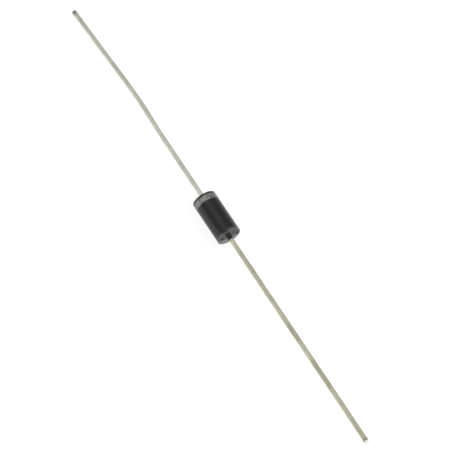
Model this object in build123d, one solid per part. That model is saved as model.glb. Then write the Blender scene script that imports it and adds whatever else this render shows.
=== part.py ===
from build123d import *
from math import radians, tan
import os

# Axial rectifier diode: a moulded black body with a printed cathode band and a tinned wire
# lead at each end. It lies on its side, with its cathode lead bent down to the surface.
# Millimetres and degrees. +X runs along the body towards the anode lead, +Z is up, and
# z = 0 is the surface that the diode lies on. The origin is at the bottom of the overall
# box, under the middle of its length.

# Moulded body, with the stub that its gate leaves on the parting line, on the +Y side
body_length = 5.2
body_diameter = 2.61
body_edge_radius = 0.05
mould_draft = 3.0
gate_length = 0.8
gate_height = 0.25
gate_stub = 0.02

# Printed cathode band
band_width = 0.66
band_thickness = 0.02
band_margin = 0.3

# Lead wire, with the head that is upset on its inner end. Behind the head the wire is still
# swollen, and it tapers to its drawn size where it leaves the body.
lead_diameter = 0.52
head_diameter = 1.5
head_thickness = 0.35
head_edge_chamfer = 0.05
neck_diameter = 0.68
neck_root_chamfer = 0.08

# Anode lead, which is straight and has a sheared tip
anode_lead_length = 26.3
shear_angle = 15.0

# Cathode lead, which is bent twice and has a worn, rounded tip. Its first bend turns it a
# little aside and up, and its second turns it back and down to the surface.
cathode_straight_length = 9.25
cathode_middle_length = 5.1
cathode_end_length = 14.2
middle_sideways = 0.12
middle_rise = 0.1
tip_sideways = -0.15
first_bend_radius = 60.0
second_bend_radius = 40.0
tip_round_radius = 0.16

# Die, the solder on its two faces and the coating round its edge
die_side = 1.1
die_thickness = 0.25
solder_thickness = 0.06
solder_flare = 30.0
coating_diameter = 1.9

# Places that follow from the sizes above
body_radius = body_diameter / 2
lead_radius = lead_diameter / 2
band_radius = body_radius + band_thickness
head_radius = head_diameter / 2
head_face = die_thickness / 2 + solder_thickness
body_end = body_length / 2
axis_height = band_radius
tip_drop = axis_height - lead_radius
anode_reach = body_end + anode_lead_length
cathode_reach = body_end + cathode_straight_length + cathode_middle_length + cathode_end_length
body_place = Pos((cathode_reach - anode_reach) / 2, 0, axis_height)


def turned(profile):
    """Turn a half profile, drawn above the X axis, about that axis."""
    return revolve(profile, axis=Axis.X)


def upset_end():
    """The lead inside the body, along +X: its head, and the taper from there to the end face."""
    head_back = head_face + head_thickness
    profile = make_face(
        Polyline(
            (head_face, 0),
            (head_face, head_radius),
            (head_back, head_radius),
            (head_back, neck_diameter / 2),
            (body_end, lead_radius),
            (body_end, 0),
            close=True,
        )
    )
    rims = profile.vertices().filter_by_position(Axis.Y, head_radius, head_radius)
    eased = chamfer(rims, head_edge_chamfer)
    root = eased.vertices().sort_by_distance((head_back, neck_diameter / 2))[0]
    return turned(chamfer(root, neck_root_chamfer))


def straight_lead():
    """The anode lead, cut off at a slant so that its end face looks a little upward."""
    wire = extrude(Plane.YZ.offset(body_end) * Circle(lead_radius), anode_lead_length)
    slant = Plane(
        origin=(anode_reach - lead_radius * tan(radians(shear_angle)), 0, 0),
        z_dir=Vector(1, 0, 0).rotate(Axis.Y, -shear_angle),
    )
    return upset_end() + split(wire, bisect_by=slant, keep=Keep.BOTTOM)


def bent_lead():
    """The cathode lead: straight out of the body, then through its two bends to its tip."""
    first_corner = -body_end - cathode_straight_length
    second_corner = first_corner - cathode_middle_length
    route = FilletPolyline(
        (-body_end, 0, 0),
        (first_corner, 0, 0),
        (second_corner, middle_sideways, middle_rise),
        (-cathode_reach, tip_sideways, -tip_drop),
        radius=(first_bend_radius, second_bend_radius),
    )
    section = Plane(origin=route @ 0, z_dir=route % 0) * Circle(lead_radius)
    wire = sweep(section, path=route)
    tip_edge = wire.edges().filter_by(GeomType.CIRCLE).sort_by(Axis.X)[0]
    return mirror(upset_end(), about=Plane.YZ) + fillet(tip_edge, tip_round_radius)


def moulded_outside():
    """The outside of the body: a round bar whose end faces lean in from the parting plane."""
    slope = body_radius * tan(radians(mould_draft))
    bar = turned(Pos(0, body_radius / 2) * Rectangle(body_length, body_radius))
    side_view = Plane.XZ * make_face(
        Polyline(
            (body_end, 0),
            (body_end - slope, body_radius),
            (slope - body_end, body_radius),
            (-body_end, 0),
            (slope - body_end, -body_radius),
            (body_end - slope, -body_radius),
            close=True,
        )
    )
    drafted = bar & extrude(side_view, amount=body_radius, both=True)
    rims = drafted.edges().filter_by(GeomType.ELLIPSE)
    gate = Pos(0, (body_radius + gate_stub) / 2, 0) * Box(
        gate_length, body_radius + gate_stub, gate_height
    )
    return fillet(rims, body_edge_radius) + gate


def solder_joint(side):
    """Solder between one face of the die and a head, wider where it wets the head."""
    die_face = Plane(origin=(side * die_thickness / 2, 0, 0), z_dir=(side, 0, 0))
    return extrude(die_face * Rectangle(die_side, die_side), solder_thickness, taper=-solder_flare)


def edge_coating():
    """The soft coating round the stack, which bulges out between the rims of the two heads."""
    rim = head_face + head_edge_chamfer
    profile = make_face(
        [
            Line((-rim, 0), (rim, 0)),
            Line((rim, 0), (rim, head_radius)),
            ThreePointArc((rim, head_radius), (0, coating_diameter / 2), (-rim, head_radius)),
            Line((-rim, head_radius), (-rim, 0)),
        ]
    )
    return turned(profile)


def printed_band():
    """The band of ink round the body, next to the rounded edge of its cathode end."""
    outer = turned(Pos(0, band_radius / 2) * Rectangle(band_width, band_radius))
    inner = turned(Pos(0, body_radius / 2) * Rectangle(band_width, body_radius))
    return Pos(band_margin + band_width / 2 - body_end, 0, 0) * (outer - inner)


silicon_die = Box(die_thickness, die_side, die_side)
anode_solder = solder_joint(1)
cathode_solder = solder_joint(-1)
anode_lead = straight_lead()
cathode_lead = bent_lead()

# The coating flows round the stack, and the moulding compound round all that is inside it,
# so what they surround has given them their inner shape.
stack = silicon_die + anode_solder + cathode_solder
junction_coating = edge_coating() - stack - anode_lead - cathode_lead
epoxy_body = moulded_outside() - stack - junction_coating - anode_lead - cathode_lead

nodes = {
    "epoxy_body": epoxy_body,
    "cathode_band": printed_band(),
    "anode_lead": anode_lead,
    "cathode_lead": cathode_lead,
    "silicon_die": silicon_die,
    "anode_solder": anode_solder,
    "cathode_solder": cathode_solder,
    "junction_coating": junction_coating,
}

os.makedirs("parts", exist_ok=True)
for name, shape in nodes.items():
    export_step(body_place * shape, f"parts/{name}.step")
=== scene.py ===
import bmesh
import bpy
from math import cos, exp, pi, radians, sin, tan
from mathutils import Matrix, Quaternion, Vector, noise


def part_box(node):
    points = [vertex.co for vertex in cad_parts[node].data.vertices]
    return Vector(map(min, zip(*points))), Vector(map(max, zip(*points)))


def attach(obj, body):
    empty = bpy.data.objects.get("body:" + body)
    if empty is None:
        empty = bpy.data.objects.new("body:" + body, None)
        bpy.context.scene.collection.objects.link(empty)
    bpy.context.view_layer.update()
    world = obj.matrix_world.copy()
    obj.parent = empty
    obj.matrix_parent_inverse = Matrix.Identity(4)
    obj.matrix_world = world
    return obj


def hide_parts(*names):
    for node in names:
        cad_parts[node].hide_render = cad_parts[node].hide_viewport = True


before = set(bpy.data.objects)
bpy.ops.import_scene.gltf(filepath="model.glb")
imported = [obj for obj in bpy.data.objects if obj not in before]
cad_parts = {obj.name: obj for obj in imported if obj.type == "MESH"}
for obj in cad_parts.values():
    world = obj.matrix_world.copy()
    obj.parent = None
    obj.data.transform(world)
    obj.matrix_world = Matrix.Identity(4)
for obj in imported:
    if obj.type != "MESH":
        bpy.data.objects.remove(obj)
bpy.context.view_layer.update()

# Silicon die: a square sawn from a wafer, with its two faces plated for soldering.
# It is clamped between the heads of the two leads, and nothing of it shows from outside.
mm = 0.001
die_light = (0.16, 0.17, 0.20, 1)
die_dark = (0.07, 0.075, 0.09, 1)
die_patch = 0.35 * mm
die_roughness = (0.18, 0.34)
die_metal = 0.55
die_saw_mark = 0.05 * mm
die_saw_depth = 0.002 * mm

# The mottle's softness, and the span of its noise that becomes blotches
mottle_detail = 5.0
mottle_fineness = 0.62
mottle_span = (0.32, 0.68)


def add_node(tree, kind, sockets=None, **options):
    """Add a shader node, set its options, and link or fill its sockets by name."""
    node = tree.nodes.new(kind)
    for option, value in options.items():
        setattr(node, option, value)
    for name, value in (sockets or {}).items():
        socket = next(s for s in node.inputs if name in (s.identifier, s.name))
        if isinstance(value, bpy.types.NodeSocket):
            tree.links.new(value, socket)
        else:
            socket.default_value = value
    return node


def new_finish(name):
    """Start a material: returns it, its node tree and its one surface shader."""
    finish = bpy.data.materials.new(name)
    finish.use_nodes = True
    return finish, finish.node_tree, finish.node_tree.nodes["Principled BSDF"]


def new_effect(name, inputs, outputs):
    """Start a node group with named sockets: returns the group, its inlet and its outlet."""
    effect = bpy.data.node_groups.new(name, "ShaderNodeTree")
    for socket, kind in inputs.items():
        effect.interface.new_socket(socket, in_out="INPUT", socket_type=kind)
    for socket, kind in outputs.items():
        effect.interface.new_socket(socket, in_out="OUTPUT", socket_type=kind)
    inlet = effect.nodes.new("NodeGroupInput")
    outlet = effect.nodes.new("NodeGroupOutput")
    return effect, inlet, outlet


def mottle_effect():
    """Soft blotches of two colours over a surface, with their mask."""
    inputs = {
        "Position": "NodeSocketVector",
        "Patches per Metre": "NodeSocketFloat",
        "Light Colour": "NodeSocketColor",
        "Dark Colour": "NodeSocketColor",
    }
    outputs = {"Colour": "NodeSocketColor", "Mask": "NodeSocketFloat"}
    effect, inlet, outlet = new_effect("mottle", inputs, outputs)
    blotches = add_node(effect, "ShaderNodeTexNoise", {
        "Vector": inlet.outputs["Position"],
        "Scale": inlet.outputs["Patches per Metre"],
        "Detail": mottle_detail,
        "Roughness": mottle_fineness,
    })
    mask = add_node(effect, "ShaderNodeMapRange", {
        "Value": blotches.outputs[0],
        "From Min": mottle_span[0],
        "From Max": mottle_span[1],
    })
    colour = add_node(effect, "ShaderNodeMix", {
        "Factor_Float": mask.outputs[0],
        "A_Color": inlet.outputs["Light Colour"],
        "B_Color": inlet.outputs["Dark Colour"],
    }, data_type="RGBA")
    effect.links.new(colour.outputs[2], outlet.inputs["Colour"])
    effect.links.new(mask.outputs[0], outlet.inputs["Mask"])
    return effect


def add_mottle(tree, position, patch, light, dark):
    """Place the mottle in a material, with blotches about as large as patch."""
    return add_node(tree, "ShaderNodeGroup", {
        "Position": position,
        "Patches per Metre": 1 / patch,
        "Light Colour": light,
        "Dark Colour": dark,
    }, node_tree=mottle)


def between(tree, mask, low, high):
    """A value that goes from low to high with a mask."""
    spread = add_node(tree, "ShaderNodeMapRange", {"Value": mask, "To Min": low, "To Max": high})
    return spread.outputs[0]


def in_place(tree):
    """The position on the part, in metres."""
    return tree.nodes.new("ShaderNodeTexCoord").outputs["Object"]


def dress(node, finish):
    """Give a CAD piece that is shown as it is its finish."""
    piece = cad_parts[node]
    piece.data.materials.clear()
    piece.data.materials.append(finish)


def silicon_finish():
    """Dark grey silicon with the fine parallel marks of the saw on its edges."""
    finish, tree, shader = new_finish("sawn_silicon")
    place = in_place(tree)
    patches = add_mottle(tree, place, die_patch, die_light, die_dark)
    saw = add_node(tree, "ShaderNodeTexWave", {
        "Vector": place,
        "Scale": 1 / die_saw_mark,
        "Distortion": 1.5,
    }, bands_direction="DIAGONAL")
    relief = add_node(tree, "ShaderNodeBump", {
        "Height": saw.outputs["Color"],
        "Strength": 0.3,
        "Distance": die_saw_depth,
    })
    tree.links.new(patches.outputs["Colour"], shader.inputs["Base Color"])
    roughness = between(tree, patches.outputs["Mask"], *die_roughness)
    tree.links.new(roughness, shader.inputs["Roughness"])
    tree.links.new(relief.outputs[0], shader.inputs["Normal"])
    shader.inputs["Metallic"].default_value = die_metal
    return finish


mottle = mottle_effect()
dress("silicon_die", silicon_finish())

# Solder: two thin joints, one on each face of the die, melted in one pass through a furnace.
# Each is as wide as the die on one side and spreads a little where it wets the lead's head.
solder_light = (0.55, 0.55, 0.56, 1)
solder_dark = (0.36, 0.36, 0.38, 1)
solder_patch = 0.2 * mm
solder_roughness = (0.3, 0.5)
solder_crystal = 0.07 * mm
solder_crystal_depth = 0.006 * mm


def solder_finish():
    """Satin grey solder that has set in small flat crystals."""
    finish, tree, shader = new_finish("furnace_solder")
    place = in_place(tree)
    patches = add_mottle(tree, place, solder_patch, solder_light, solder_dark)
    crystals = add_node(tree, "ShaderNodeTexVoronoi", {"Vector": place, "Scale": 1 / solder_crystal})
    relief = add_node(tree, "ShaderNodeBump", {
        "Height": crystals.outputs["Distance"],
        "Strength": 0.5,
        "Distance": solder_crystal_depth,
    })
    tree.links.new(patches.outputs["Colour"], shader.inputs["Base Color"])
    roughness = between(tree, patches.outputs["Mask"], *solder_roughness)
    tree.links.new(roughness, shader.inputs["Roughness"])
    tree.links.new(relief.outputs[0], shader.inputs["Normal"])
    shader.inputs["Metallic"].default_value = 1.0
    return finish


solder = solder_finish()
dress("anode_solder", solder)
dress("cathode_solder", solder)

# Junction coating: milky silicone rubber, run round the edge of the etched die as a drop and
# cured. It seals the junction and bulges out a little between the rims of the two heads.
rubber_light = (0.80, 0.80, 0.77, 1)
rubber_dark = (0.70, 0.70, 0.66, 1)
rubber_patch = 0.5 * mm
rubber_roughness = (0.35, 0.5)
rubber_grain = 0.05 * mm
rubber_grain_depth = 0.004 * mm
rubber_grain_strength = 0.4


def grain_effect():
    """Fine even grain, as a height for a bump."""
    inputs = {"Position": "NodeSocketVector", "Grains per Metre": "NodeSocketFloat"}
    effect, inlet, outlet = new_effect("fine grain", inputs, {"Height": "NodeSocketFloat"})
    grains = add_node(effect, "ShaderNodeTexNoise", {
        "Vector": inlet.outputs["Position"],
        "Scale": inlet.outputs["Grains per Metre"],
        "Detail": 3.0,
        "Roughness": 0.55,
    })
    effect.links.new(grains.outputs[0], outlet.inputs["Height"])
    return effect


def add_grain(tree, position, size, depth, strength):
    """Place the grain in a material and return the normal that it gives."""
    grains = add_node(tree, "ShaderNodeGroup", {
        "Position": position,
        "Grains per Metre": 1 / size,
    }, node_tree=fine_grain)
    relief = add_node(tree, "ShaderNodeBump", {
        "Height": grains.outputs["Height"],
        "Strength": strength,
        "Distance": depth,
    })
    return relief.outputs[0]


def rubber_finish():
    """Milky soft rubber with a slightly sticky sheen."""
    finish, tree, shader = new_finish("silicone_coating")
    place = in_place(tree)
    patches = add_mottle(tree, place, rubber_patch, rubber_light, rubber_dark)
    tree.links.new(patches.outputs["Colour"], shader.inputs["Base Color"])
    roughness = between(tree, patches.outputs["Mask"], *rubber_roughness)
    tree.links.new(roughness, shader.inputs["Roughness"])
    normal = add_grain(tree, place, rubber_grain, rubber_grain_depth, rubber_grain_strength)
    tree.links.new(normal, shader.inputs["Normal"])
    return finish


fine_grain = grain_effect()
dress("junction_coating", rubber_finish())

# Leads: drawn copper wire with a thin dull coat of tin. A head is upset cold on the inner end,
# and the moulded body grips the swollen, tapered stretch behind it. The anode lead is straight
# and freshly sheared. The cathode lead has two slight bends and an older, worn tip.
body_low, body_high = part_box("epoxy_body")
anode_low, anode_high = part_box("anode_lead")
cathode_low, cathode_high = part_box("cathode_lead")
body_middle = (body_low.x + body_high.x) / 2
axis_height = (body_low.z + body_high.z) / 2
body_half = (body_high.x - body_low.x) / 2
wire_radius = 0.26 * mm
head_radius = (anode_high.z - anode_low.z) / 2
head_front = anode_low.x - body_middle
head_back = head_front + 0.35 * mm
head_edge = 0.05 * mm
neck_radius = 0.34 * mm
neck_root = 0.08 * mm

# The cathode lead's route outside the body, from the end face to its tip, with its two bends
cathode_bends = (60 * mm, 40 * mm)
cathode_straight = 9.25 * mm
cathode_middle = 5.1 * mm
middle_sideways = 0.12 * mm
middle_rise = 0.1 * mm
tip_sideways = -0.15 * mm

shear_angle = radians(15)
shear_roll = 0.045 * mm
shear_burr = 0.012 * mm
torn_depth = 0.012 * mm
torn_grain = 0.09 * mm
torn_rings = (0.85, 0.68, 0.5, 0.32, 0.15)
worn_tip_radius = 0.16 * mm
worn_depth = 0.01 * mm
worn_bumps = 1.7
worn_face_share = 0.4
tip_colour_rings = 3

wire_sides = 64
wire_step = 0.3 * mm
wire_dent = 0.0025 * mm
wire_dent_length = 1.6 * mm

anode_tin_light = (0.94, 0.93, 0.735, 1)
anode_tin_dark = (0.54, 0.53, 0.41, 1)
cathode_tin_light = (0.98, 0.98, 0.85, 1)
cathode_tin_dark = (0.68, 0.685, 0.59, 1)
tin_patch = 0.8 * mm
tin_patch_stretch = 0.55
tin_roughness = (0.36, 0.5)
draw_mark_width = 0.03 * mm
draw_mark_stretch = 0.012
draw_mark_depth = 0.004 * mm

fresh_cut_light = (0.98, 0.97, 0.93, 1)
fresh_cut_dark = (0.90, 0.88, 0.82, 1)
fresh_cut_patch = 0.12 * mm
worn_cap_light = (0.30, 0.30, 0.28, 1)
worn_cap_dark = (0.14, 0.14, 0.13, 1)
worn_cap_patch = 0.2 * mm

# Painted shade and a painted reflection of the black end face darken the anode lead from the body
# as far as this. The tin is painted lighter near the body, as painted light against the body's shade,
# and it is pinched dull before each tip, most of all over the last share of that stretch
root_shade_reach = 0.45 * mm
root_shade_ragged = 0.1 * mm
painted_root_shade_colour = (0.03, 0.028, 0.022, 1)
body_side_painted_light_reach = 4 * mm
body_side_painted_light_share = 0.7
anode_pinched = 0.5 * mm
cathode_pinched = 0.95 * mm
pinched_last = 0.25
pinched_colour = (0.34, 0.34, 0.29, 1)


def eased(corners, steps=5):
    """Round an outline. Each corner is (distance along the axis, distance from it, rounding)."""
    outline = []
    for i, (along, out, rounding) in enumerate(corners):
        here = Vector((along, out))
        if not rounding:
            outline.append(here)
            continue
        before = (Vector(corners[i - 1][:2]) - here).normalized()
        after = (Vector(corners[i + 1][:2]) - here).normalized()
        half_opening = before.angle(after) / 2
        centre = here + (before + after).normalized() * rounding / sin(half_opening)
        first = here + before * rounding / tan(half_opening) - centre
        last = here + after * rounding / tan(half_opening) - centre
        for k in range(steps + 1):
            outline.append(centre + first.slerp(last, k / steps).normalized() * rounding)
    return outline


def divided(outline, longest):
    """Put points into the long stretches of an outline."""
    points = [outline[0]]
    for start, end in zip(outline, outline[1:]):
        pieces = max(1, round((end - start).length / longest))
        points += [start.lerp(end, k / pieces) for k in range(1, pieces + 1)]
    return points


def skin(name, rings, loop=False):
    """Skin rings of as many points each into one closed smooth piece.
    In a loop the last ring joins the first, and otherwise each end gets a flat cap."""
    count = len(rings[0])
    faces = []
    for i in range(len(rings) if loop else len(rings) - 1):
        here = i * count
        there = (i + 1) % len(rings) * count
        for j in range(count):
            k = (j + 1) % count
            faces.append((here + j, here + k, there + k, there + j))
    if not loop:
        last = (len(rings) - 1) * count
        faces.append(tuple(range(count)))
        faces.append(tuple(range(last, last + count)))
    mesh = bpy.data.meshes.new(name)
    mesh.from_pydata([point for ring in rings for point in ring], [], faces)
    shell = bmesh.new()
    shell.from_mesh(mesh)
    bmesh.ops.recalc_face_normals(shell, faces=shell.faces)
    shell.to_mesh(mesh)
    shell.free()
    mesh.shade_smooth()
    mesh.set_sharp_from_angle(angle=radians(40))
    piece = bpy.data.objects.new(name, mesh)
    bpy.context.scene.collection.objects.link(piece)
    return piece


def bend_route(corners, bends):
    """Turn a route's corners into stretches: (length, start, heading, turning axis, radius)."""
    stretches = []
    start = corners[0]
    heading = (corners[1] - corners[0]).normalized()
    for corner, following, radius in zip(corners[1:], corners[2:], bends):
        new_heading = (following - corner).normalized()
        turn = heading.angle(new_heading)
        reach = radius * tan(turn / 2)
        stretches.append(((corner - start).length - reach, start, heading, None, 0))
        axis = heading.cross(new_heading).normalized()
        stretches.append((radius * turn, corner - heading * reach, heading, axis, radius))
        start = corner + new_heading * reach
        heading = new_heading
    stretches.append(((corners[-1] - start).length, start, heading, None, 0))
    return stretches


def along_route(stretches, distance):
    """The point and the heading at a distance along a bent route."""
    for i, (length, start, heading, axis, radius) in enumerate(stretches):
        if distance <= length or i == len(stretches) - 1:
            break
        distance -= length
    if axis is None:
        return start + heading * distance, heading
    turned = Quaternion(axis, distance / radius)
    inward = axis.cross(heading)
    return start + inward * radius - turned @ inward * radius, turned @ heading


def head_rings():
    """Distance from the body's end face, and radius, down the lead as far as the end face."""
    outline = eased((
        (head_front, 0, 0),
        (head_front, head_radius, head_edge),
        (head_back, head_radius, head_edge),
        (head_back, neck_radius, neck_root),
        (body_half, wire_radius, 0),
    ))
    return [(point.x - body_half, point.y) for point in divided(outline[1:], wire_step)]


def uneven(spot, share=0.5):
    """A smooth random factor for a spot, from 1 down to 1 - 2 * share."""
    return 1 - share + share * noise.noise(spot)


def sheared_tip(length):
    """Rings of the fresh cut: its top edge is rolled over and its face slants and is torn."""
    rings = []
    steps = 5
    for k in range(steps + 1):
        turn = k / steps * pi / 2
        ring = []
        for angle in wire_angles:
            roll = shear_burr + (shear_roll - shear_burr) * (1 + sin(angle)) / 2
            radius = wire_radius - roll * (1 - cos(turn))
            lag = (wire_radius + radius * sin(angle)) * tan(shear_angle)
            ring.append((length - lag - roll * (1 - sin(turn)), radius))
        rings.append(ring)
    rim = rings[-1]
    for share in torn_rings:
        ring = []
        for angle, (_, rim_radius) in zip(wire_angles, rim):
            radius = rim_radius * share
            lag = (wire_radius + radius * sin(angle)) * tan(shear_angle)
            spot = Vector((radius * cos(angle), radius * sin(angle), 0)) / torn_grain
            tear = torn_depth * uneven(spot) * (1 - share)
            ring.append((length - lag - tear, radius))
        rings.append(ring)
    return rings


def worn_tip(length):
    """Rings of the old tip, which handling has rounded over and dented."""
    rings = []
    steps = 7
    for k in range(steps + 1):
        turn = k / steps * pi / 2
        radius = wire_radius - worn_tip_radius * (1 - cos(turn))
        ring = []
        for angle in wire_angles:
            spot = Vector((cos(angle), sin(angle), turn)) * worn_bumps
            wear = worn_depth * uneven(spot) * sin(turn)
            ring.append((length - worn_tip_radius * (1 - sin(turn)) - wear, radius))
        rings.append(ring)
    rings.append([(along, radius * worn_face_share) for along, radius in rings[-1]])
    return rings


def lead(name, corners, bends, tip):
    """A whole lead. Its rings are made straight, then carried onto its route, and every point
    keeps its straight place and how far it lies on the tip's end, for the finish."""
    route = bend_route(corners, bends)
    length = sum(stretch[0] for stretch in route)
    tip_rings = tip(length)
    shank_end = min(along for along, _ in tip_rings[0]) - wire_step
    steps = round(shank_end / wire_step)
    shank = [(shank_end * k / steps, wire_radius) for k in range(1, steps + 1)]
    outline = head_rings() + shank
    straight = [[spot] * wire_sides for spot in outline] + tip_rings
    rings = []
    straight_places = []
    tip_shares = []
    for i, ring in enumerate(straight):
        placed = []
        for angle, (along, radius) in zip(wire_angles, ring):
            if radius == wire_radius:
                spot = Vector((along / wire_dent_length, cos(angle), sin(angle)))
                radius -= wire_dent * uneven(spot)
            centre, heading = along_route(route, along)
            aside = heading.cross(Vector((0, 0, 1))).normalized()
            above = aside.cross(heading)
            across = radius * cos(angle)
            height = radius * sin(angle)
            placed.append(centre + aside * across + above * height)
            straight_places.append((along, across, height))
            tip_shares.append(min(1, max(0, (i - len(outline)) / tip_colour_rings)))
        rings.append(placed)
    piece = skin(name, rings)
    place = piece.data.attributes.new("straight_place", "FLOAT_VECTOR", "POINT")
    place.data.foreach_set("vector", [value for spot in straight_places for value in spot])
    share = piece.data.attributes.new("tip_share", "FLOAT", "POINT")
    share.data.foreach_set("value", tip_shares)
    return piece


def blended(tree, mask, under, over):
    """One colour over another, as far as a mask says."""
    mix = add_node(tree, "ShaderNodeMix", {
        "Factor_Float": mask,
        "A_Color": under,
        "B_Color": over,
    }, data_type="RGBA")
    return mix.outputs[2]


def tinned_finish(name, tin, tip, tip_patch, length, root_shade, pinch):
    """Dull drawn tin with marks along the wire and soft patches. It is painted lighter near the body,
    as painted light, and pinched dull before the tip, which has its own colour. From the body out it
    may be painted dark and not metal, as painted shade and reflection of the black end face."""
    finish, tree, shader = new_finish(name)
    place = add_node(tree, "ShaderNodeAttribute", attribute_name="straight_place")
    on_tip = add_node(tree, "ShaderNodeAttribute", attribute_name="tip_share")
    along = add_node(tree, "ShaderNodeSeparateXYZ", {"Vector": place.outputs["Vector"]})
    drawn_out = add_node(tree, "ShaderNodeMapping", {
        "Vector": place.outputs["Vector"],
        "Scale": (tin_patch_stretch, 1, 1),
    })
    patches = add_mottle(tree, drawn_out.outputs[0], tin_patch, *tin)
    tip_patches = add_mottle(tree, place.outputs["Vector"], tip_patch, *tip)
    lengthwise = add_node(tree, "ShaderNodeMapping", {
        "Vector": place.outputs["Vector"],
        "Scale": (draw_mark_stretch, 1, 1),
    })
    marks = add_node(tree, "ShaderNodeTexNoise", {
        "Vector": lengthwise.outputs[0],
        "Scale": 1 / draw_mark_width,
        "Detail": 4.0,
        "Roughness": 0.65,
    })
    unmarked = between(tree, marks.outputs[0], 0.5, 1.0)
    streaked = blended(tree, unmarked, tin[1], patches.outputs["Colour"])
    # Painted light: the tin is lighter near the body, where the body shades it
    painted_light_near_body = add_node(tree, "ShaderNodeMapRange", {
        "Value": along.outputs["X"],
        "From Max": body_side_painted_light_reach,
        "To Min": body_side_painted_light_share,
        "To Max": 0.0,
    })
    shank = blended(tree, painted_light_near_body.outputs[0], streaked, tin[0])
    pinched = add_node(tree, "ShaderNodeMapRange", {
        "Value": along.outputs["X"],
        "From Min": length - pinch,
        "From Max": length - pinch * pinched_last,
    })
    handled = blended(tree, pinched.outputs[0], shank, pinched_colour)
    tipped = blended(tree, on_tip.outputs["Fac"], handled, tip_patches.outputs["Colour"])
    # Painted shade and reflection of the black end face: dark and not metal from the body out, to a
    # ragged edge
    ragged = add_node(tree, "ShaderNodeMath", {
        "Value": patches.outputs["Mask"],
        "Value_001": root_shade_ragged,
        "Value_002": along.outputs["X"],
    }, operation="MULTIPLY_ADD")
    root_shaded = add_node(tree, "ShaderNodeMapRange", {
        "Value": ragged.outputs[0],
        "From Min": root_shade,
        "From Max": root_shade + root_shade_ragged / 2,
        "To Min": 1.0,
        "To Max": 0.0,
    })
    relief = add_node(tree, "ShaderNodeBump", {
        "Height": marks.outputs[0],
        "Strength": 0.15,
        "Distance": draw_mark_depth,
    })
    colour = blended(tree, root_shaded.outputs[0], tipped, painted_root_shade_colour)
    tree.links.new(colour, shader.inputs["Base Color"])
    roughness = between(tree, patches.outputs["Mask"], *tin_roughness)
    tree.links.new(roughness, shader.inputs["Roughness"])
    tree.links.new(between(tree, root_shaded.outputs[0], 1.0, 0.0), shader.inputs["Metallic"])
    tree.links.new(relief.outputs[0], shader.inputs["Normal"])
    return finish


wire_angles = [2 * pi * k / wire_sides for k in range(wire_sides)]
anode_start = Vector((body_high.x, 0, axis_height))
anode_lead = lead("tinned_anode_lead", [anode_start, Vector((anode_high.x, 0, axis_height))],
                  (), sheared_tip)
anode_lead.data.materials.append(tinned_finish(
    "tin_fresh_cut", (anode_tin_light, anode_tin_dark), (fresh_cut_light, fresh_cut_dark),
    fresh_cut_patch, anode_high.x - body_high.x, root_shade_reach, anode_pinched))
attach(anode_lead, "root")
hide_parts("anode_lead")

first_corner = body_low.x - cathode_straight
second_corner = first_corner - cathode_middle
cathode_route = [
    Vector((body_low.x, 0, axis_height)),
    Vector((first_corner, 0, axis_height)),
    Vector((second_corner, middle_sideways, axis_height + middle_rise)),
    Vector((-anode_high.x, tip_sideways, wire_radius)),
]
cathode_lead = lead("tinned_cathode_lead", cathode_route, cathode_bends, worn_tip)
cathode_length = sum(stretch[0] for stretch in bend_route(cathode_route, cathode_bends))
cathode_lead.data.materials.append(tinned_finish(
    "tin_worn_tip", (cathode_tin_light, cathode_tin_dark), (worn_cap_light, worn_cap_dark),
    worn_cap_patch, cathode_length, -root_shade_reach, cathode_pinched))
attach(cathode_lead, "root")
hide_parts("cathode_lead")

# Body: black epoxy compound, transfer moulded round the soldered stack between two mould
# halves. They leave drafted end faces, eased edges and a hair of flash on the parting line,
# and the runner that fed the cavity leaves a rough stub where it was snapped off.
body_radius = (body_high.z - body_low.z) / 2
body_edge = 0.05 * mm
mould_draft = radians(3)
rim_start = head_front + head_edge
coating_low, coating_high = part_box("junction_coating")
coating_bulge = (coating_high.z - coating_low.z) / 2 - head_radius
body_step = 0.1 * mm
cavity_step = 0.3 * mm
body_quarter = 48
angle_crowding = 1.5

flash_height = 0.007 * mm
flash_width = 0.014 * mm
flash_wander = 0.25 * mm
flash_unevenness = 0.3
gate_half_length = 0.4 * mm
gate_half_height = 0.125 * mm
gate_stub = 0.02 * mm
gate_break = 0.07 * mm
gate_unevenness = 0.28
resin_collar = 0.03 * mm

# Two small pits in the anode end face, near the parting line: (sideways, up, radius, depth)
end_pits = (
    (0.96 * mm, -0.02 * mm, 0.19 * mm, 0.15 * mm),
    (-0.84 * mm, 0.22 * mm, 0.19 * mm, 0.15 * mm),
)

epoxy_light = (0.007, 0.007, 0.008, 1)
epoxy_dark = (0.004, 0.004, 0.0045, 1)
blasted_light = (0.030, 0.030, 0.031, 1)
blasted_dark = (0.018, 0.018, 0.019, 1)
epoxy_patch = 0.7 * mm
epoxy_grain = 0.035 * mm
epoxy_grain_depth = 0.002 * mm
epoxy_roughness = (0.26, 0.34)
epoxy_ior = 1.54

# Handling has rubbed the rims grey, and the grey there is also a painted highlight on the eased
# edges. It reaches as far as rim_reach to both sides of each edge but for a short stretch above the
# lead. The end faces below the lead get the same grey as a painted reflection of the white floor,
# fully from low_full down
rub_and_painted_light_grey = (0.26, 0.26, 0.26, 1)
rim_rub_and_sheen_share = 0.38
rim_reach = 0.32 * mm
spared_place = -0.37 * mm
spared_reach = 0.38 * mm
spared_fade = 4
low_face_reflection_share = 0.75
low_start = 0.05 * mm
low_full = 0.6 * mm


def pit_at(across, height):
    """How deep the pits are at a place on the anode end face."""
    for pit_across, pit_height, pit_radius, pit_depth in end_pits:
        away = ((across - pit_across) ** 2 + (height - pit_height) ** 2) / pit_radius ** 2
        if away < 1:
            return pit_depth * (1 - away) ** 2
    return 0


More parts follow.
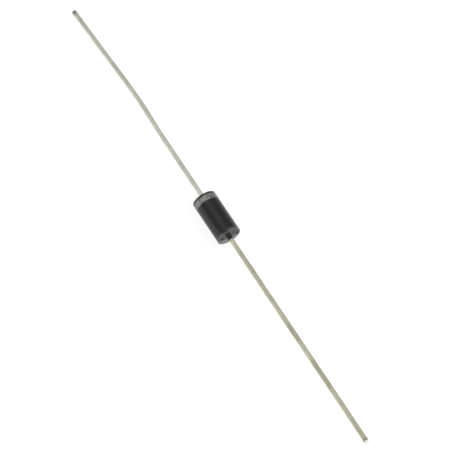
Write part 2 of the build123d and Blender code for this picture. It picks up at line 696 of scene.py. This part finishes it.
def moulding_marks(along, across, height, on_side):
    """How far the flash, the gate stub or a pit moves a point of the outside outwards."""
    wander = uneven(Vector((along, across, 0)) / flash_wander, flash_unevenness)
    offset = flash_height * wander * exp(-(height / flash_width) ** 2)
    on_gate = abs(along) <= gate_half_length and abs(height) <= gate_half_height and across > 0
    if on_side and on_gate:
        spot = Vector((along, 0, height)) / gate_break
        offset = gate_stub * uneven(spot, gate_unevenness)
    if along > 0 and not on_side and pit_at(across, height):
        offset = -pit_at(across, height)
    return offset


def round_edge(point):
    """How far round the edge a point of the outline lies: 0 on an end face, 1 on the side."""
    return min(1, max(0, point.y - (body_radius - body_edge)) / body_edge)


def outside_ring(point):
    """One ring of the outside. The draft pulls it in away from the parting plane."""
    normal_out = round_edge(point)
    normal_along = (1 - normal_out ** 2) ** 0.5 * (1 if point.x > 0 else -1)
    ring = []
    for angle in body_angles:
        across = point.y * cos(angle)
        height = point.y * sin(angle)
        along = point.x * (1 - abs(height) * tan(mould_draft) / body_half)
        offset = moulding_marks(along, across, height, normal_out == 1)
        grown = (point.y + offset * normal_out) / point.y
        ring.append(Vector((
            body_middle + along + offset * normal_along,
            across * grown,
            axis_height + height * grown,
        )))
    return ring


def cavity_ring(point):
    """One ring of the cavity that the stack and the leads have left in the body."""
    return [Vector((
        body_middle + point.x,
        point.y * cos(angle),
        axis_height + point.y * sin(angle),
    )) for angle in body_angles]


def crowded_angles():
    """Angles round the body, close together near the parting line on both sides."""
    quarter = [pi / 2 * (k / body_quarter) ** angle_crowding for k in range(body_quarter)]
    mirrored = [pi - angle for angle in reversed(quarter)]
    upper = quarter + [pi / 2] + mirrored
    return upper + [angle + pi for angle in upper[1:-1]]


def finish_shares(point, angle):
    """How far a point of the outside lies on an end face, and how far it is grey: rubbed and painted
    highlight at the rims, painted floor reflection low on the end faces.
    """
    across = point.y * cos(angle)
    height = point.y * sin(angle)
    # Painted shade in the pits: they keep the side's black, without the end face's grey
    if point.x > 0 and pit_at(across, height):
        return 0, 0
    on_end = 1 - round_edge(point)
    from_rim = max(body_half - abs(point.x), body_radius - point.y)
    rub_and_painted_light = rim_rub_and_sheen_share * max(0, 1 - from_rim / rim_reach)
    if height > 0:
        rub_and_painted_light *= min(1, ((across - spared_place) / spared_reach) ** spared_fade)
    # Painted reflection of the white floor: the end faces grow greyer towards the bottom
    low = min(1, max(0, -height - low_start) / (low_full - low_start))
    return on_end, max(rub_and_painted_light, on_end * low_face_reflection_share * low)


def moulded_body():
    """The body: its outside, then back through the cavity, as one closed loop of rings. Every
    point keeps its two shares for the finish, which are 0 inside."""
    outside = divided(eased((
        (body_half, wire_radius, 0),
        (body_half - resin_collar / 3, wire_radius + resin_collar, 0),
        (body_half, wire_radius + 2 * resin_collar, 0),
        (body_half, body_radius, body_edge),
        (-body_half, body_radius, body_edge),
        (-body_half, wire_radius + 2 * resin_collar, 0),
        (-body_half + resin_collar / 3, wire_radius + resin_collar, 0),
        (-body_half, wire_radius, 0),
    )), body_step)
    near_half = eased((
        (rim_start, head_radius, 0),
        (head_back, head_radius, head_edge),
        (head_back, neck_radius, neck_root),
        (body_half, wire_radius, 0),
    ))[:-1]
    far_half = [Vector((-point.x, point.y)) for point in reversed(near_half)]
    steps = 12
    bulge = [Vector((
        -rim_start * cos(pi * k / steps),
        head_radius + coating_bulge * sin(pi * k / steps),
    )) for k in range(1, steps)]
    cavity = divided(far_half + bulge + near_half, cavity_step)
    rings = [outside_ring(point) for point in outside] + [cavity_ring(point) for point in cavity]
    piece = skin("moulded_body", rings, loop=True)
    shares = [finish_shares(point, angle) for point in outside for angle in body_angles]
    shares += [(0, 0)] * len(cavity) * len(body_angles)
    for name, values in zip(("end_share", "rub_and_painted_light_share"), zip(*shares)):
        attribute = piece.data.attributes.new(name, "FLOAT", "POINT")
        attribute.data.foreach_set("value", values)
    return piece


def epoxy_finish():
    """Black moulding compound, half glossy, with fine grain and faint flow patches. The end
    faces come greyer out of the mould, whose ends are blasted, and the rims are rubbed grey with a
    painted highlight. Low on the end faces the grey is a painted floor reflection, and the pits keep
    the black as painted shade."""
    finish, tree, shader = new_finish("black_moulding_compound")
    place = in_place(tree)
    patches = add_mottle(tree, place, epoxy_patch, epoxy_light, epoxy_dark)
    blasted = add_mottle(tree, place, epoxy_patch, blasted_light, blasted_dark)
    on_end = add_node(tree, "ShaderNodeAttribute", attribute_name="end_share")
    rub_and_painted_light = add_node(tree, "ShaderNodeAttribute", attribute_name="rub_and_painted_light_share")
    moulded = blended(tree, on_end.outputs["Fac"], patches.outputs["Colour"], blasted.outputs["Colour"])
    colour = blended(tree, rub_and_painted_light.outputs["Fac"], moulded, rub_and_painted_light_grey)
    tree.links.new(colour, shader.inputs["Base Color"])
    roughness = between(tree, patches.outputs["Mask"], *epoxy_roughness)
    tree.links.new(roughness, shader.inputs["Roughness"])
    normal = add_grain(tree, place, epoxy_grain, epoxy_grain_depth, 0.5)
    tree.links.new(normal, shader.inputs["Normal"])
    shader.inputs["IOR"].default_value = epoxy_ior
    return finish


body_angles = crowded_angles()
body = moulded_body()
body.data.materials.append(epoxy_finish())
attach(body, "root")
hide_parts("epoxy_body")

# Cathode band: silver-grey ink with fine metal flake, rolled round the finished body and baked.
# Its edges wander a little, its ink is thin at the edges, and it is mottled all over.
band_low, band_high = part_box("cathode_band")
band_radius = (band_high.z - band_low.z) / 2
band_wander = 0.02 * mm
band_wander_length = 0.35 * mm
band_thin_edge = 0.05 * mm
band_unevenness = 0.25

# How thick the ink is towards an edge: (share of the thin edge, share of the full thickness)
band_levels = ((0, 0), (0.15, 0.6), (0.5, 0.9), (1, 1))

ink_light = (0.46, 0.465, 0.45, 1)
ink_dark = (0.16, 0.162, 0.16, 1)
ink_patch = 0.45 * mm
ink_patch_shift = (-0.7 * mm, 0.9 * mm, 1.3 * mm)
ink_grain = 0.03 * mm
ink_grain_depth = 0.003 * mm
ink_roughness = (0.4, 0.55)
ink_metal = 0.8


def printed_band():
    """The ring of ink: up from one edge, over the top, down the other and back underneath."""
    thickness = band_radius - body_radius
    middle = (band_high.x - band_low.x) / 2
    rings = []
    spots = [(band_thin_edge * inset, level) for inset, level in band_levels]
    inner_steps = 8
    span = middle - band_thin_edge
    spots += [(band_thin_edge + span * k / inner_steps, 1) for k in range(1, inner_steps + 1)]
    mirrored = [(2 * middle - along, level) for along, level in reversed(spots[:-1])]
    for along, level in spots + mirrored:
        edge_share = abs(along - middle) / middle
        side = 1 if along > middle else -1
        ring = []
        for angle in body_angles:
            spot = Vector((side * 3, cos(angle), sin(angle))) * body_radius / band_wander_length
            inward = band_wander * uneven(spot) * edge_share
            cover = Vector((along, body_radius * cos(angle), body_radius * sin(angle)))
            dip = band_unevenness * uneven(cover / ink_patch)
            radius = body_radius + thickness * level * (1 - dip)
            ring.append(Vector((
                band_low.x + along - side * inward,
                radius * cos(angle),
                axis_height + radius * sin(angle),
            )))
        rings.append(ring)
    return skin("printed_cathode_band", rings, loop=True)


def ink_finish():
    """Silver-grey flake ink, matte and mottled."""
    finish, tree, shader = new_finish("silver_grey_ink")
    place = in_place(tree)
    shifted = add_node(tree, "ShaderNodeMapping", {"Vector": place, "Location": ink_patch_shift})
    patches = add_mottle(tree, shifted.outputs[0], ink_patch, ink_light, ink_dark)
    tree.links.new(patches.outputs["Colour"], shader.inputs["Base Color"])
    roughness = between(tree, patches.outputs["Mask"], *ink_roughness)
    tree.links.new(roughness, shader.inputs["Roughness"])
    normal = add_grain(tree, place, ink_grain, ink_grain_depth, 0.5)
    tree.links.new(normal, shader.inputs["Normal"])
    shader.inputs["Metallic"].default_value = ink_metal
    return finish


band = printed_band()
band.data.materials.append(ink_finish())
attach(band, "root")
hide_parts("cathode_band")

# Floor: a plain white sheet that the diode lies on. The camera and reflections see it as white,
# and it keeps a faint shadow under the part.
floor_half = 1.5
floor_colour = (0.8, 0.8, 0.8, 1)
floor_white = 1.2
seen_glow = 0.7
mirrored_glow = 0.45


def floor_finish():
    """White sheet: part of what the camera and glossy surfaces see of it is its own white."""
    finish = bpy.data.materials.new("white_sheet")
    finish.use_nodes = True
    tree = finish.node_tree
    tree.nodes.clear()
    sheet = add_node(tree, "ShaderNodeBsdfDiffuse", {"Color": floor_colour})
    white = add_node(tree, "ShaderNodeEmission", {"Color": (1, 1, 1, 1), "Strength": floor_white})
    rays = tree.nodes.new("ShaderNodeLightPath")
    seen = between(tree, rays.outputs["Is Camera Ray"], 0, seen_glow)
    mirrored = between(tree, rays.outputs["Is Glossy Ray"], 0, mirrored_glow)
    seen_through = between(tree, rays.outputs["Is Transmission Ray"], 0, seen_glow)
    share = mirrored
    for other in (seen, seen_through):
        larger = add_node(tree, "ShaderNodeMath", {
            "Value": share,
            "Value_001": other,
        }, operation="MAXIMUM")
        share = larger.outputs[0]
    surface = add_node(tree, "ShaderNodeMixShader", {
        "Fac": share,
        "Shader": sheet.outputs[0],
        "Shader_001": white.outputs[0],
    })
    add_node(tree, "ShaderNodeOutputMaterial", {"Surface": surface.outputs[0]})
    return finish


floor_mesh = bpy.data.meshes.new("floor")
floor_signs = ((-1, -1), (1, -1), (1, 1), (-1, 1))
floor_corners = [(x * floor_half, y * floor_half, 0) for x, y in floor_signs]
floor_mesh.from_pydata(floor_corners, [], [(0, 1, 2, 3)])
floor = bpy.data.objects.new("floor", floor_mesh)
bpy.context.scene.collection.objects.link(floor)
floor.data.materials.append(floor_finish())

# Light: an even pale room with square soft boxes round the part, each (place, side, radiance)
room_level = 0.42
soft_boxes = {
    "overhead_soft_box": (Vector((-0.2, -0.055, 0.42)), 0.35, 0.4),
    "left_soft_box": (Vector((-0.4, -0.85, 0.1)), 0.25, 1.0),
    "right_soft_box": (Vector((0.35, 0.35, 0.5)), 0.6, 1.6),
    "front_soft_box": (Vector((0.6, -0.45, 0.4)), 0.7, 1.8),
}


def hang_soft_box(name, place, side, radiance):
    """Hang a square soft box that faces the part and shines with an even radiance."""
    soft_box = bpy.data.lights.new(name, "AREA")
    soft_box.size = side
    soft_box.energy = radiance * pi * side ** 2
    lamp = bpy.data.objects.new(name, soft_box)
    lamp.location = place
    lamp.rotation_euler = (-place).to_track_quat("-Z", "Y").to_euler()
    lamp.visible_camera = False
    bpy.context.scene.collection.objects.link(lamp)


for name, (place, side, radiance) in soft_boxes.items():
    hang_soft_box(name, place, side, radiance)

room = bpy.data.worlds.new("room")
room.use_nodes = True
room.node_tree.nodes["Background"].inputs["Color"].default_value = (1, 1, 1, 1)
room.node_tree.nodes["Background"].inputs["Strength"].default_value = room_level
bpy.context.scene.world = room

# Camera: a long lens that looks down along the diode from beside its anode end
camera_azimuth = radians(59.642)
camera_elevation = radians(60.759)
camera_distance = 192.61 * mm
camera_target = Vector((1.845, 0.716, 0)) * mm
focal_pixels = 1857.74
image_pixels = 452
sensor_width = 36

camera_lens = bpy.data.cameras.new("camera")
camera_lens.sensor_width = sensor_width
camera_lens.lens = sensor_width * focal_pixels / image_pixels
camera_lens.clip_start = 1 * mm
camera_lens.clip_end = 10
camera = bpy.data.objects.new("camera", camera_lens)
to_camera = Vector((
    cos(camera_elevation) * sin(camera_azimuth),
    -cos(camera_elevation) * cos(camera_azimuth),
    sin(camera_elevation),
))
camera.location = camera_target + to_camera * camera_distance
camera.rotation_euler = (-to_camera).to_track_quat("-Z", "Y").to_euler()
bpy.context.scene.collection.objects.link(camera)
bpy.context.scene.camera = camera
bpy.context.scene.view_settings.view_transform = "Standard"
